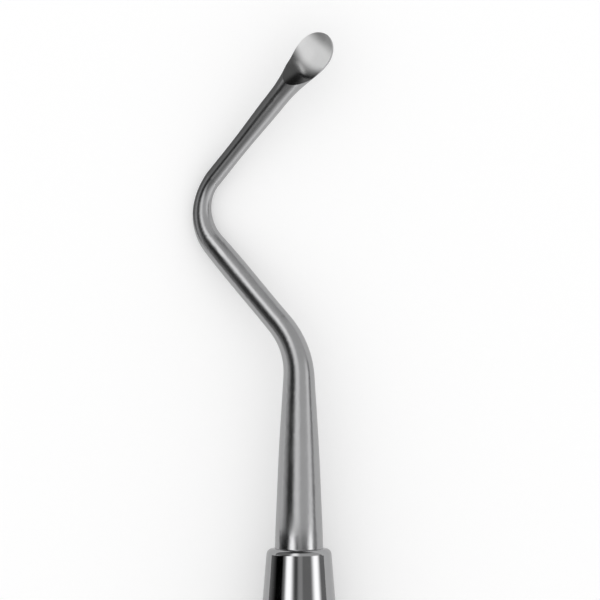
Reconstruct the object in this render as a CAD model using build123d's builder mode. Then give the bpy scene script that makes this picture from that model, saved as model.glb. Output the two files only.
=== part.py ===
"""Bone curette, double-ended: a round steel handle with a spoon-shaped working end set in each nose.

The instrument lies as it comes to rest on a table, on the handle and on both elbows. +X runs along the
handle towards working end A, +Z is up, and the origin is on the handle's axis, halfway along it. Millimetres.
"""

from build123d import *
import os
from math import asin, cos, degrees, radians, sin, sqrt, tan

# Handle: a turned bar with a tapered nose at each end
handle_length = 100.0
handle_dia = 6.35
nose_end_dia = 4.47
nose_half_angle = 4.65
nose_edge_radius = 0.42
nose_blend_radius = 12.0

# Tang of the working end and the blind bore it is pressed into
tang_dia = 2.4
tang_length = 8.0
tang_chamfer = 0.3
tang_clearance = 0.01
bore_end_gap = 0.4
bore_point_angle = 118.0
bore_mouth_chamfer = 0.15

# Shank: from the shoulder that seats on the nose to the first bend
shank_length = 11.86
shank_base_dia = 3.34
shank_swell_at = 3.0
shank_swell_dia = 3.14
shank_belly_at = 6.8
shank_belly_dia = 2.80
shank_top_dia = 2.18

# First bend, middle length and elbow, all in one plane
bend_angle = 41.6
bend_radius = 5.6
middle_length = 7.45
middle_start_dia = 1.80
middle_end_dia = 1.66
elbow_angle = 82.6
elbow_radius = 3.5
elbow_dia = 1.32
neck_dia = 1.21

# Neck and spoon, measured along the neck's own axis from the end of the elbow
neck_slim_length = 3.2
neck_flare_at = 6.6
neck_flare_dia = 1.42
heel_at = 8.3
heel_dia = 1.55
shoulder_at = 9.85
shoulder_inset = 0.2
cup_at = 11.3
cup_width = 2.52
cup_nose_length = 1.66

# Hollow of the spoon
cup_depth = 0.37
rim_height = 0.08
floor_length = 1.47
floor_blend_radius = 0.87
heel_slope = 45.0
heel_run = 3.0

mid_plane = Plane.YZ


# The handle's outline, from the mid-plane to one nose, turned about the X axis. It is drawn on the side that
# faces the table, so the bar's seam is the line on which the instrument lies.
cone_length = (handle_dia - nose_end_dia) / 2 / tan(radians(nose_half_angle))
half_length = handle_length / 2
bore_radius = tang_dia / 2 + tang_clearance
bore_depth = tang_length + bore_end_gap
bore_point = bore_radius / tan(radians(bore_point_angle / 2))

table_side = Plane(origin=(0, 0, 0), x_dir=(1, 0, 0), z_dir=(0, 1, 0))

with BuildPart() as handle:
    with BuildSketch(table_side) as outline:
        with BuildLine():
            Polyline(
                (0, 0),
                (half_length, 0),
                (half_length, nose_end_dia / 2),
                (half_length - cone_length, handle_dia / 2),
                (0, handle_dia / 2),
                close=True,
            )
        make_face()
        nose_corner = outline.vertices().group_by(Axis.X)[-1].sort_by(Axis.Y)[-1]
        fillet(nose_corner, nose_edge_radius)
        cone_corner = outline.vertices().group_by(Axis.Y)[-1].sort_by(Axis.X)[-1]
        fillet(cone_corner, nose_blend_radius)
    revolve(axis=Axis.X)
    # Blind bore with a drill point and a chamfered mouth
    with BuildSketch(table_side):
        with BuildLine():
            Polyline(
                (half_length - bore_depth - bore_point, 0),
                (half_length - bore_depth, bore_radius),
                (half_length - bore_mouth_chamfer, bore_radius),
                (half_length, bore_radius + bore_mouth_chamfer),
                (half_length, 0),
                close=True,
            )
        make_face()
    revolve(axis=Axis.X, mode=Mode.SUBTRACT)
    # The far half is the same, so the bar is symmetrical about its mid-plane
    mirror(about=mid_plane)

handle.part.label = "handle"


# The instrument has rolled until each elbow touches the table that the handle lies on.
# The elbow's highest point above the handle's axis follows from the two bends and the run between them.
# The elbow thins along its arc, so the place that touches comes a little before that point.
apex_rise = (
    bend_radius * (1 - cos(radians(bend_angle)))
    + middle_length * sin(radians(bend_angle))
    + elbow_radius * (1 - cos(radians(bend_angle)))
)
elbow_taper = (middle_end_dia - elbow_dia) / 2 / (elbow_radius * radians(bend_angle))
elbow_drop = (handle_dia - elbow_dia) / 2
rest_roll = asin(
    (elbow_drop + sqrt(elbow_drop**2 - 2 * apex_rise * elbow_radius * elbow_taper**2)) / (2 * apex_rise)
)
bend_plane = Plane(
    origin=(half_length, 0, 0),
    x_dir=(1, 0, 0),
    z_dir=(0, sin(rest_roll), cos(rest_roll)),
)

# Centre line of working end A, from the nose to the end of the elbow
with BuildLine(bend_plane) as spine:
    shank = Line((0, 0), (shank_length, 0))
    bend = JernArc(start=shank @ 1, tangent=shank % 1, radius=bend_radius, arc_size=bend_angle)
    middle = Line(bend @ 1, (bend @ 1) + (bend % 1) * middle_length)
    elbow = JernArc(start=middle @ 1, tangent=middle % 1, radius=elbow_radius, arc_size=-elbow_angle)

# The neck and spoon are turned about this plane's X axis, and the spoon faces along its Z axis
neck_plane = Plane(origin=elbow @ 1, x_dir=elbow % 1, z_dir=bend_plane.z_dir)
side_plane = Plane(origin=neck_plane.origin, x_dir=neck_plane.x_dir, z_dir=-neck_plane.y_dir)
back_plane = Plane(origin=neck_plane.origin, x_dir=neck_plane.x_dir, z_dir=neck_plane.y_dir)

# The hollow is a shallow dish: a level trough with a ramp that climbs out of it at the heel, a soft blend
# between the two, and a longer oval under the tip. The trough's arc is wider than the blank, so the rim is a
# sharp edge where the two surfaces meet.
rim_half_width = sqrt((cup_width / 2) ** 2 - rim_height**2)
rim_drop = cup_depth + rim_height
dish_radius = (rim_half_width**2 + rim_drop**2) / (2 * rim_drop)
dish_height = dish_radius - cup_depth
rim_length = cup_nose_length * sqrt(1 - (2 * rim_height / cup_width) ** 2)
dish_reach = rim_length / sqrt(1 - ((dish_height - rim_height) / dish_radius) ** 2)
ramp_foot = cup_at - floor_length
cup_plane = Plane(origin=neck_plane.from_local_coords((cup_at, 0)), x_dir=neck_plane.y_dir, z_dir=neck_plane.x_dir)

with BuildLine(side_plane) as dish_path:
    Polyline(
        (cup_at, -cup_depth),
        (ramp_foot, -cup_depth),
        (
            ramp_foot - heel_run * cos(radians(heel_slope)),
            -cup_depth + heel_run * sin(radians(heel_slope)),
        ),
    )

with BuildPart() as hollow:
    with BuildSketch(cup_plane):
        with Locations((0, dish_height)):
            Circle(dish_radius)
            Rectangle(3 * dish_radius, 2 * dish_radius, align=(Align.CENTER, Align.MAX), mode=Mode.INTERSECT)
            Rectangle(2 * dish_radius, cup_width / 2, align=(Align.CENTER, Align.MIN))
    sweep(path=dish_path.wire(), transition=Transition.RIGHT)
    fillet(hollow.edges().filter_by(GeomType.ELLIPSE), floor_blend_radius)
    with BuildSketch(side_plane):
        with BuildLine():
            EllipticalCenterArc((cup_at, dish_height), dish_reach, dish_radius, 0, arc_size=90)
            Line((cup_at, dish_height + dish_radius), (cup_at, dish_height))
            Line((cup_at, dish_height), (cup_at + dish_reach, dish_height))
        make_face()
    revolve(axis=Axis(side_plane.from_local_coords((0, dish_height)), side_plane.x_dir))

with BuildPart() as working_end_a:
    # Round sections that thin out towards the neck: (piece of the centre line, place on it, diameter)
    stations = [
        (shank, 0.0, shank_base_dia),
        (shank, shank_swell_at / shank_length, shank_swell_dia),
        (shank, shank_belly_at / shank_length, shank_belly_dia),
        (shank, 1.0, shank_top_dia),
        (bend, 1.0, middle_start_dia),
        (middle, 1.0, middle_end_dia),
        (elbow, bend_angle / elbow_angle, elbow_dia),
        (elbow, 1.0, neck_dia),
    ]
    for piece, place, diameter in stations:
        with BuildSketch(Plane(origin=piece @ place, x_dir=-bend_plane.z_dir, z_dir=piece % place)):
            Circle(diameter / 2)
    sweep(path=spine.wire(), multisection=True)

    # Tang, coaxial with the shank, whose wider shoulder stops it at the nose
    with BuildSketch(bend_plane):
        with BuildLine():
            Polyline(
                (0.2, 0),
                (0.2, tang_dia / 2),
                (tang_chamfer - tang_length, tang_dia / 2),
                (-tang_length, tang_dia / 2 - tang_chamfer),
                (-tang_length, 0),
                close=True,
            )
        make_face()
    revolve(axis=Axis(bend_plane.origin, bend_plane.x_dir))

    # Neck and spoon blank, turned about the neck's axis: slim neck, flare, widest place, blunt oval tip.
    # The outline is drawn on the spoon's back, so the seam stays clear of the rim.
    with BuildSketch(back_plane):
        with BuildLine():
            base = Line((0, 0), (0, neck_dia / 2))
            side = Spline(
                (0, neck_dia / 2),
                (neck_slim_length, neck_dia / 2),
                (neck_flare_at, neck_flare_dia / 2),
                (heel_at, heel_dia / 2),
                (shoulder_at, cup_width / 2 - shoulder_inset),
                (cup_at, cup_width / 2),
                tangents=((1, 0), (1, 0)),
            )
            EllipticalCenterArc((cup_at, 0), cup_nose_length, cup_width / 2, 0, arc_size=90)
            Line((cup_at + cup_nose_length, 0), (0, 0))
        make_face()
    revolve(axis=Axis(neck_plane.origin, neck_plane.x_dir))

    add(hollow.part, mode=Mode.SUBTRACT)

working_end_a.part.label = "working_end_a"


# The far end is the same blank bent the other way round
with BuildPart() as working_end_b:
    mirror(working_end_a.part, about=mid_plane)

working_end_b.part.label = "working_end_b"


os.makedirs("parts", exist_ok=True)
export_step(handle.part, "parts/handle.step")
export_step(working_end_a.part, "parts/working_end_a.step")
export_step(working_end_b.part, "parts/working_end_b.step")

print("rest roll", round(degrees(rest_roll), 2), "apex rise", round(apex_rise, 3))
print("dish radius", round(dish_radius, 3), "reach", round(dish_reach, 3))
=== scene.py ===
import bpy
import math
from mathutils import Matrix, Vector


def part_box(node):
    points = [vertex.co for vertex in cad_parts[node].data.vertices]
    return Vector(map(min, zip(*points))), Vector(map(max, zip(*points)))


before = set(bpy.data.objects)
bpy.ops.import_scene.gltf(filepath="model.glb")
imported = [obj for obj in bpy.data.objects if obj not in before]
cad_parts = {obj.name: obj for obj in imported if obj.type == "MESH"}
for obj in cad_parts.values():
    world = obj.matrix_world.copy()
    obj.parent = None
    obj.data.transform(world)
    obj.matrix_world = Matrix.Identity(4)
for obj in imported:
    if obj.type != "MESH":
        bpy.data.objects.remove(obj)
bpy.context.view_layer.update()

MM = 0.001
table_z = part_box("handle")[0][2]
nose_face_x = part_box("handle")[1][0]

# The picture is 600 pixels square at 14.4 pixels to the millimetre. The nose's end face lies in row 548.3
# and the handle's axis in column 299.0.
PICTURE = 600
PX_PER_MM = 14.4
NOSE_ROW = 548.3
AXIS_COLUMN = 299.0
LENS, SENSOR = 200.0, 36.0

# Working end A as it lies: its neck points along NECK, ACROSS is to the neck's left, and the instrument has
# rolled by ROLL. Working end B is its mirror image in X.
ROLL = math.radians(20.13)
HEADING = math.radians(41.0)
NECK = Vector((math.cos(HEADING), -math.sin(HEADING) * math.cos(ROLL), math.sin(HEADING) * math.sin(ROLL)))
ACROSS = Vector((math.sin(HEADING), math.cos(HEADING) * math.cos(ROLL), -math.cos(HEADING) * math.sin(ROLL)))
HEEL_REACH = 3.4 * MM
CUP_NOSE = 1.66 * MM
CUP_HALF_WIDTH = 1.26 * MM

# The light that the steel sees: an even strength, and soft-edged strips and gaps laid over it in turn. Each
# is (start, full from, full to, end, strength), with its angles in degrees across the instrument, from the
# side of the elbow at -90 over the top to the other side at 90.
OVER_GRIP = 0.22, (
    (-77, -60, -50, -28, 0.02),
    (-5, 70, 90, 110, 0.95),
)
OVERHEAD = 0.58, (
    (-92, -52, -38, -24, 0.01),
    (-30, -14, -9, 12, 1.05),
    (44, 60, 68, 84, 1.0),
    (68, 85, 87, 100, 0.12),
)
OVER_TIP = 0.21, (
    (-48, -25, 90, 110, 0.52),
    (-38, -19, -15, 6, 1.5),
)
IN_HOOD = 0.21, (
    (-105, -72, -54, -48, 0.0),
    (-47, -35, -28, -13, 1.98),
    (-15, -10, -8, -2, 0.09),
    (-6, 2, 7, 14, 0.38),
    (35, 52, 57, 73, 2.0),
)
LEVEL = 1.19
# The even light on everything but the steel, and the dark end of the tent, straight along X
PLAIN = 0.94
END_OF_TENT = 0.03
# Where one plan goes over into the next, by the X part of the direction that the steel sees
GRIP_TO_OVERHEAD = -0.30, 0.0
OVERHEAD_TO_TIP = 0.18, 0.38
TIP_TO_END = 0.80, 0.92

# Table top: the paper's half width and grey, and how much of its own glow shows in the steel
TABLE_HALF = 1.2
PAPER_GREY = 0.8
GLOW_IN_STEEL = 0.3

# A dark card on the paper that only the steel sees: its edge runs along the neck through CARD_EDGE, it lies
# on the side that CARD_SIDE points to, and it fades in across its edge and along X
CARD_EDGE = Vector((77.66, 3.6)) * MM
CARD_SIDE = Vector((0.632, 0.775))
CARD_DEPTH = 0.75
CARD_FADE_ACROSS = 0.2 * MM, 1.0 * MM
CARD_FADE_ALONG = 64 * MM, 70 * MM

# Hood: a light panel close round the handle
HOOD_RADIUS = 12 * MM
HOOD_HALF_LENGTH = 51 * MM
HOOD_PANELS = 48
HOOD_FROM, HOOD_TO = math.radians(-104), math.radians(90)


# Camera: straight above, with the working end pointing up the picture
def add_camera():
    data = bpy.data.cameras.new("photo_camera")
    data.lens = LENS
    data.sensor_width = SENSOR
    data.clip_start = 0.005
    data.clip_end = 10.0
    camera = bpy.data.objects.new("photo_camera", data)
    bpy.context.scene.collection.objects.link(camera)
    x = nose_face_x + (NOSE_ROW - PICTURE / 2) / PX_PER_MM * MM
    y = (AXIS_COLUMN - PICTURE / 2) / PX_PER_MM * MM
    z = PICTURE / PX_PER_MM * MM * LENS / SENSOR
    camera.matrix_world = Matrix(((0, 1, 0, x), (-1, 0, 0, y), (0, 0, 1, z), (0, 0, 0, 1)))
    bpy.context.scene.camera = camera


# Node helpers
def node(tree, kind, **inputs):
    n = tree.nodes.new(kind)
    for name, value in inputs.items():
        n.inputs[name].default_value = value
    return n


def feed(tree, socket, value):
    if isinstance(value, (int, float)):
        socket.default_value = value
    else:
        tree.links.new(value, socket)


def maths(tree, operation, a, b=0.0):
    n = tree.nodes.new("ShaderNodeMath")
    n.operation = operation
    feed(tree, n.inputs[0], a)
    feed(tree, n.inputs[1], b)
    return n.outputs[0]


def ramp(tree, value, start, end, low=0.0, high=1.0):
    n = tree.nodes.new("ShaderNodeMapRange")
    n.interpolation_type = "SMOOTHSTEP"
    feed(tree, n.inputs["Value"], value)
    feed(tree, n.inputs["From Min"], start)
    feed(tree, n.inputs["From Max"], end)
    feed(tree, n.inputs["To Min"], low)
    feed(tree, n.inputs["To Max"], high)
    return n.outputs["Result"]


def mix(tree, factor, a, b):
    n = tree.nodes.new("ShaderNodeMix")
    n.data_type = "FLOAT"
    feed(tree, n.inputs[0], factor)
    feed(tree, n.inputs[2], a)
    feed(tree, n.inputs[3], b)
    return n.outputs[0]


def coordinates(tree, output):
    """X, Y and Z of the texture coordinates of that kind."""
    split = node(tree, "ShaderNodeSeparateXYZ")
    tree.links.new(node(tree, "ShaderNodeTexCoord").outputs[output], split.inputs[0])
    return split.outputs["X"], split.outputs["Y"], split.outputs["Z"]


def distance_along(tree, point, direction, start):
    """How far a point lies from the start in that direction."""
    total = maths(tree, "MULTIPLY", point[0], direction[0])
    for value, part in zip(point[1:], direction[1:]):
        total = maths(tree, "ADD", total, maths(tree, "MULTIPLY", value, part))
    return maths(tree, "SUBTRACT", total, direction.dot(start))


def angle_across(tree, y, z):
    """The angle across the instrument in degrees, from the elbow's side over the top to the other side."""
    angle = maths(tree, "ARCTAN2", maths(tree, "MULTIPLY", y, -1.0), z)
    return maths(tree, "MULTIPLY", angle, 180 / math.pi)


def light_across(tree, angle, plan):
    """The strength at that angle of an even light with its strips and gaps."""
    light, strips = plan
    for start, full_from, full_to, end, strength in strips:
        rise = ramp(tree, angle, start, full_from)
        fall = ramp(tree, angle, full_to, end, 1.0, 0.0)
        light = mix(tree, maths(tree, "MULTIPLY", rise, fall), light, strength)
    return light


# World: a white tent with soft strips. They change along X, from the grip's side over the bends to the tip.
def add_world():
    world = bpy.data.worlds.new("tent")
    bpy.context.scene.world = world
    world.use_nodes = True
    t = world.node_tree
    t.nodes.clear()
    along, y, z = coordinates(t, "Generated")
    angle = angle_across(t, y, z)
    grip, over, tip = (light_across(t, angle, plan) for plan in (OVER_GRIP, OVERHEAD, OVER_TIP))
    strips = mix(t, ramp(t, along, *GRIP_TO_OVERHEAD), grip, over)
    strips = mix(t, ramp(t, along, *OVERHEAD_TO_TIP), strips, tip)
    strips = mix(t, ramp(t, along, *TIP_TO_END), strips, END_OF_TENT)
    strips = maths(t, "MULTIPLY", strips, LEVEL)
    rays = node(t, "ShaderNodeLightPath")
    # Steel sees the strips, everything else gets their even light, and the camera sees white
    strength = mix(t, rays.outputs["Is Glossy Ray"], PLAIN, strips)
    strength = mix(t, rays.outputs["Is Camera Ray"], strength, 1.0)
    strength = mix(t, rays.outputs["Is Transmission Ray"], strength, 1.0)
    light = node(t, "ShaderNodeBackground", Color=(1, 1, 1, 1))
    t.links.new(strength, light.inputs["Strength"])
    t.links.new(light.outputs[0], node(t, "ShaderNodeOutputWorld").inputs["Surface"])


def add_stage(name, corners, faces):
    mesh = bpy.data.meshes.new(name)
    mesh.from_pydata(corners, [], faces)
    piece = bpy.data.objects.new(name, mesh)
    bpy.context.scene.collection.objects.link(piece)
    return piece


def empty_material(name):
    material = bpy.data.materials.new(name)
    material.use_nodes = True
    material.node_tree.nodes.clear()
    return material


# Hood: harder strips than the tent's, which only the handle's mirror polish shows
def add_hood():
    step = (HOOD_TO - HOOD_FROM) / HOOD_PANELS
    ring = [HOOD_FROM + step * i for i in range(HOOD_PANELS + 1)]
    corners = [
        (x, -HOOD_RADIUS * math.sin(a), HOOD_RADIUS * math.cos(a))
        for x in (-HOOD_HALF_LENGTH, HOOD_HALF_LENGTH)
        for a in ring
    ]
    row = HOOD_PANELS + 1
    hood = add_stage("hood", corners, [(i, i + 1, i + row + 1, i + row) for i in range(HOOD_PANELS)])
    hood.visible_camera = False
    hood.visible_diffuse = False
    hood.visible_transmission = False
    hood.visible_shadow = False
    panel = empty_material("hood_panel")
    t = panel.node_tree
    _, y, z = coordinates(t, "Object")
    strips = light_across(t, angle_across(t, y, z), IN_HOOD)
    glow = node(t, "ShaderNodeEmission", Color=(1, 1, 1, 1))
    t.links.new(maths(t, "MULTIPLY", strips, LEVEL), glow.inputs["Strength"])
    t.links.new(glow.outputs[0], node(t, "ShaderNodeOutputMaterial").inputs["Surface"])
    hood.data.materials.append(panel)


# Table top: white paper that keeps the instrument's shadow
def add_table():
    corners = [(x * TABLE_HALF, y * TABLE_HALF, table_z) for x, y in ((-1, -1), (1, -1), (1, 1), (-1, 1))]
    table = add_stage("table_top", corners, [(0, 1, 2, 3)])
    paper = empty_material("paper")
    t = paper.node_tree
    matt = node(t, "ShaderNodeBsdfDiffuse", Color=(PAPER_GREY, PAPER_GREY, PAPER_GREY, 1))
    glow = node(t, "ShaderNodeEmission", Color=(1, 1, 1, 1))
    rays = node(t, "ShaderNodeLightPath")
    seen = maths(t, "MAXIMUM", rays.outputs["Is Camera Ray"], rays.outputs["Is Transmission Ray"])
    seen = maths(t, "MAXIMUM", seen, maths(t, "MULTIPLY", rays.outputs["Is Glossy Ray"], GLOW_IN_STEEL))
    t.links.new(maths(t, "MULTIPLY", seen, 1 - PAPER_GREY * PLAIN), glow.inputs["Strength"])
    both = node(t, "ShaderNodeAddShader")
    t.links.new(matt.outputs[0], both.inputs[0])
    t.links.new(glow.outputs[0], both.inputs[1])
    x, y, _ = coordinates(t, "Object")
    beyond = distance_along(t, (x, y), CARD_SIDE, CARD_EDGE)
    card = maths(t, "MULTIPLY", ramp(t, beyond, *CARD_FADE_ACROSS), CARD_DEPTH)
    card = maths(t, "MULTIPLY", card, ramp(t, x, *CARD_FADE_ALONG))
    card = maths(t, "MULTIPLY", card, rays.outputs["Is Glossy Ray"])
    top = node(t, "ShaderNodeMixShader")
    t.links.new(card, top.inputs[0])
    t.links.new(both.outputs[0], top.inputs[1])
    t.links.new(node(t, "ShaderNodeEmission", Color=(0, 0, 0, 1)).outputs[0], top.inputs[2])
    t.links.new(top.outputs[0], node(t, "ShaderNodeOutputMaterial").inputs["Surface"])
    table.data.materials.append(paper)


# Steel: a clouded polish with fine lines
STEEL_TONE = (0.42, 0.42, 0.425)
TONE_SPREAD = 0.06
CLOUD_SCALE, LINE_SCALE = 400.0, 1000.0
CLOUD_RANGE = 0.3, 0.7
LINE_GRAIN = 0.06


def steel(name, rough, stretch, height):
    m = bpy.data.materials.new(name)
    m.use_nodes = True
    t = m.node_tree
    shader = t.nodes["Principled BSDF"]
    shader.inputs["Metallic"].default_value = 1.0
    where = node(t, "ShaderNodeTexCoord").outputs["Object"]
    cloud = node(t, "ShaderNodeTexNoise", Scale=CLOUD_SCALE, Detail=3.0, Roughness=0.5)
    t.links.new(where, cloud.inputs["Vector"])
    mapping = node(t, "ShaderNodeMapping", Scale=stretch)
    t.links.new(where, mapping.inputs["Vector"])
    lines = node(t, "ShaderNodeTexNoise", Scale=LINE_SCALE, Detail=4.0, Roughness=0.6)
    t.links.new(mapping.outputs[0], lines.inputs["Vector"])
    clouded = ramp(t, cloud.outputs["Fac"], *CLOUD_RANGE, *rough)
    grain = maths(t, "MULTIPLY", maths(t, "SUBTRACT", lines.outputs["Fac"], 0.5), LINE_GRAIN)
    t.links.new(maths(t, "ADD", clouded, grain), shader.inputs["Roughness"])
    tint = node(t, "ShaderNodeMix")
    tint.data_type = "RGBA"
    tint.inputs[6].default_value = tuple(c * (1 - TONE_SPREAD) for c in STEEL_TONE) + (1,)
    tint.inputs[7].default_value = tuple(c * (1 + TONE_SPREAD) for c in STEEL_TONE) + (1,)
    t.links.new(cloud.outputs["Fac"], tint.inputs[0])
    t.links.new(tint.outputs[2], shader.inputs["Base Color"])
    bump = node(t, "ShaderNodeBump", Strength=1.0, Distance=height)
    t.links.new(lines.outputs["Fac"], bump.inputs["Height"])
    t.links.new(bump.outputs[0], shader.inputs["Normal"])
    return m


# The hollow's floor is ground matt, and its tone is raised well above the steel's as a painted highlight.
# The climb to the heel is as satin as the neck, and its dark tone is painted shade.
HEEL_SHADE_TONE, FLOOR_HIGHLIGHT_TONE = 0.11, 0.92
FLOOR_METALLIC = 0.45
HEEL_ROUGH, FLOOR_ROUGH = 0.22, (0.48, 0.62)
FLOOR_CLOUD_SCALE, GRIT_SCALE = 1200.0, 14000.0
GRIT_SPREAD = 0.12
GRIT_HEIGHT = 0.0008 * MM
# Where the floor's finish and its painted highlight start out of the heel's painted shade, and where they
# fade to TIP_SHARE, in millimetres along the neck from the spoon's widest place. Its start bows towards the
# heel, by FLOOR_BOW at one millimetre from the middle.
FLOOR_STARTS = -1.72, -0.55
FLOOR_BOW = 0.34
FLOOR_FADES = 0.55, 1.45
TIP_SHARE = 0.5


def ground_steel_painted_light(name, middle):
    m = bpy.data.materials.new(name)
    m.use_nodes = True
    t = m.node_tree
    shader = t.nodes["Principled BSDF"]
    where = node(t, "ShaderNodeTexCoord").outputs["Object"]
    x, y, z = coordinates(t, "Object")
    point = (maths(t, "ABSOLUTE", x), y, z)
    along = distance_along(t, point, NECK / MM, middle)
    across = distance_along(t, point, ACROSS / MM, middle)
    bowed = maths(t, "MULTIPLY", maths(t, "MULTIPLY", across, across), FLOOR_BOW)
    # One mask for both: the floor's ground finish with its painted highlight, against the heel's satin with
    # its painted shade
    ground_and_painted_light = ramp(t, maths(t, "SUBTRACT", along, bowed), *FLOOR_STARTS)
    ground_and_painted_light = maths(t, "MULTIPLY", ground_and_painted_light, ramp(t, along, *FLOOR_FADES, 1.0, TIP_SHARE))
    cloud = node(t, "ShaderNodeTexNoise", Scale=FLOOR_CLOUD_SCALE, Detail=3.0, Roughness=0.5)
    t.links.new(where, cloud.inputs["Vector"])
    grit = node(t, "ShaderNodeTexNoise", Scale=GRIT_SCALE, Detail=2.0, Roughness=0.6)
    t.links.new(where, grit.inputs["Vector"])
    speck = maths(t, "MULTIPLY", maths(t, "SUBTRACT", grit.outputs["Fac"], 0.5), GRIT_SPREAD)
    # Tone: painted shade on the heel's climb, a painted highlight on the floor that fades towards the tip,
    # and the grit's specks
    tone = maths(t, "ADD", mix(t, ground_and_painted_light, HEEL_SHADE_TONE, FLOOR_HIGHLIGHT_TONE), maths(t, "MULTIPLY", speck, ground_and_painted_light))
    t.links.new(tone, shader.inputs["Base Color"])
    t.links.new(mix(t, ground_and_painted_light, 1.0, FLOOR_METALLIC), shader.inputs["Metallic"])
    rough = mix(t, ground_and_painted_light, HEEL_ROUGH, ramp(t, cloud.outputs["Fac"], *CLOUD_RANGE, *FLOOR_ROUGH))
    t.links.new(maths(t, "ADD", rough, speck), shader.inputs["Roughness"])
    bump = node(t, "ShaderNodeBump", Strength=1.0, Distance=GRIT_HEIGHT)
    t.links.new(grit.outputs["Fac"], bump.inputs["Height"])
    t.links.new(bump.outputs[0], shader.inputs["Normal"])
    return m


# A face of the hollow lies within these shares of the spoon's half width and nose, and faces out of the
# blank by less than FACING_OUT, where 1 is straight out
REACH_ACROSS, REACH_ALONG = 1.2, 1.1
FACING_OUT = 0.85


def as_end_a(vector, side):
    """A place or direction on either end as working end A has it, where side is 1 for A and -1 for B."""
    return Vector((side * vector.x, vector.y, vector.z))


def cup_middle(mesh, side):
    """The widest place of the spoon, on the neck's axis."""
    points = [as_end_a(vertex.co, side) for vertex in mesh.vertices]
    return max(points, key=NECK.dot) - CUP_NOSE * NECK


def hollow_faces(mesh, side):
    """The faces of the spoon's hollow: near the spoon's axis, and not facing out of the blank."""
    middle = cup_middle(mesh, side)
    found = []
    for face in mesh.polygons:
        centre = as_end_a(face.center, side) - middle
        along = centre.dot(NECK)
        out = centre - along * NECK
        if out.length > REACH_ACROSS * CUP_HALF_WIDTH or not -HEEL_REACH < along < REACH_ALONG * CUP_NOSE:
            continue
        if along > 0:
            out = out / CUP_HALF_WIDTH**2 + NECK * (along / CUP_NOSE**2)
        if as_end_a(face.normal, side).dot(out.normalized()) < FACING_OUT:
            found.append(face)
    return found


def dress(name, *materials):
    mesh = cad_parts[name].data
    mesh.materials.clear()
    for material in materials:
        mesh.materials.append(material)
    for face in mesh.polygons:
        face.material_index = 0
    return mesh


def dress_steel():
    # The handle's lines run round it, as they do on a turned bar, and the working ends' run along them
    polish = steel("polished_steel", rough=(0.06, 0.10), stretch=(8.0, 0.4, 0.4), height=0.0002 * MM)
    satin = steel("satin_steel", rough=(0.20, 0.26), stretch=(0.15, 4.0, 4.0), height=0.0004 * MM)
    ground_and_painted_light = ground_steel_painted_light("ground_steel_painted_light", cup_middle(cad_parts["working_end_a"].data, 1))
    dress("handle", polish)
    for name, side in (("working_end_a", 1), ("working_end_b", -1)):
        mesh = dress(name, satin, ground_and_painted_light)
        for face in hollow_faces(mesh, side):
            face.material_index = 1


add_camera()
add_world()
add_hood()
add_table()
dress_steel()

bpy.context.scene.view_settings.view_transform = "Standard"
